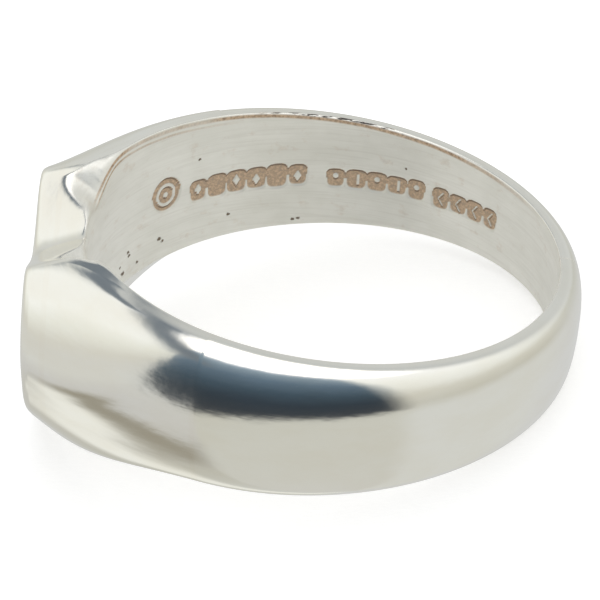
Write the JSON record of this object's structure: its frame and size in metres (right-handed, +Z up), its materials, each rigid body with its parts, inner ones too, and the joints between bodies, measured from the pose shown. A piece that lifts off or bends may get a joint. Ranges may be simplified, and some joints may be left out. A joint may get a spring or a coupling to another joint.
{
  "type": "signet ring",
  "caption": "Polished silver signet ring with a flat heart-shaped table, a V cleft between its lobes, flared shoulders and a domed band that narrows to the back.",
  "frame": {"origin": "centre of the ring's box, on the surface that it rests on", "axes": "+Z up, as the ring rests on the heart's point and the back of its band; +X from the heart table to the back of the band; +Y towards the left of someone who faces the table"},
  "size_m": [0.0202, 0.019, 0.0078],
  "materials": {
    "polished_silver": "polished sterling silver, softly worn, with brown tarnish along the rims of the bore",
    "table_silver": "polished flat, with fine scratches from wear",
    "silver_solder": "filed and polished flush with the silver on both sides"
  },
  "bodies": {
    "root": {"signet_table": "table_silver", "table_solder": "silver_solder", "ring_head": "polished_silver", "left_shoulder_solder": "silver_solder", "right_shoulder_solder": "silver_solder", "left_shank_arm": "polished_silver", "right_shank_arm": "polished_silver", "closing_solder": "silver_solder"}
  },
  "joints": []
}
